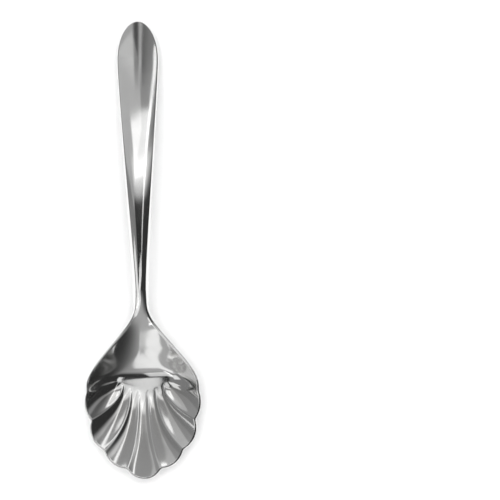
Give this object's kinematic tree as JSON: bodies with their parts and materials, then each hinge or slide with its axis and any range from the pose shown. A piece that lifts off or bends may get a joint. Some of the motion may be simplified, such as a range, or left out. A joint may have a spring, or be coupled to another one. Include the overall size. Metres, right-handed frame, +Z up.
{
  "type": "sugar spoon",
  "caption": "Polished steel sugar spoon with a fluted, scallop-edged shell bowl, a slim neck and an arched handle that widens to a rounded end.",
  "frame": {"origin": "on the table, under the middle of the spoon's length and width, with the spoon lying bowl-up as it rests", "axes": "+X across the bowl, +Y from the bowl to the handle's end, +Z up out of the bowl"},
  "size_m": [0.039, 0.152, 0.0165],
  "materials": {
    "polished_steel": "polished"
  },
  "bodies": {
    "root": {"bowl": "polished_steel", "handle": "polished_steel"}
  },
  "joints": []
}
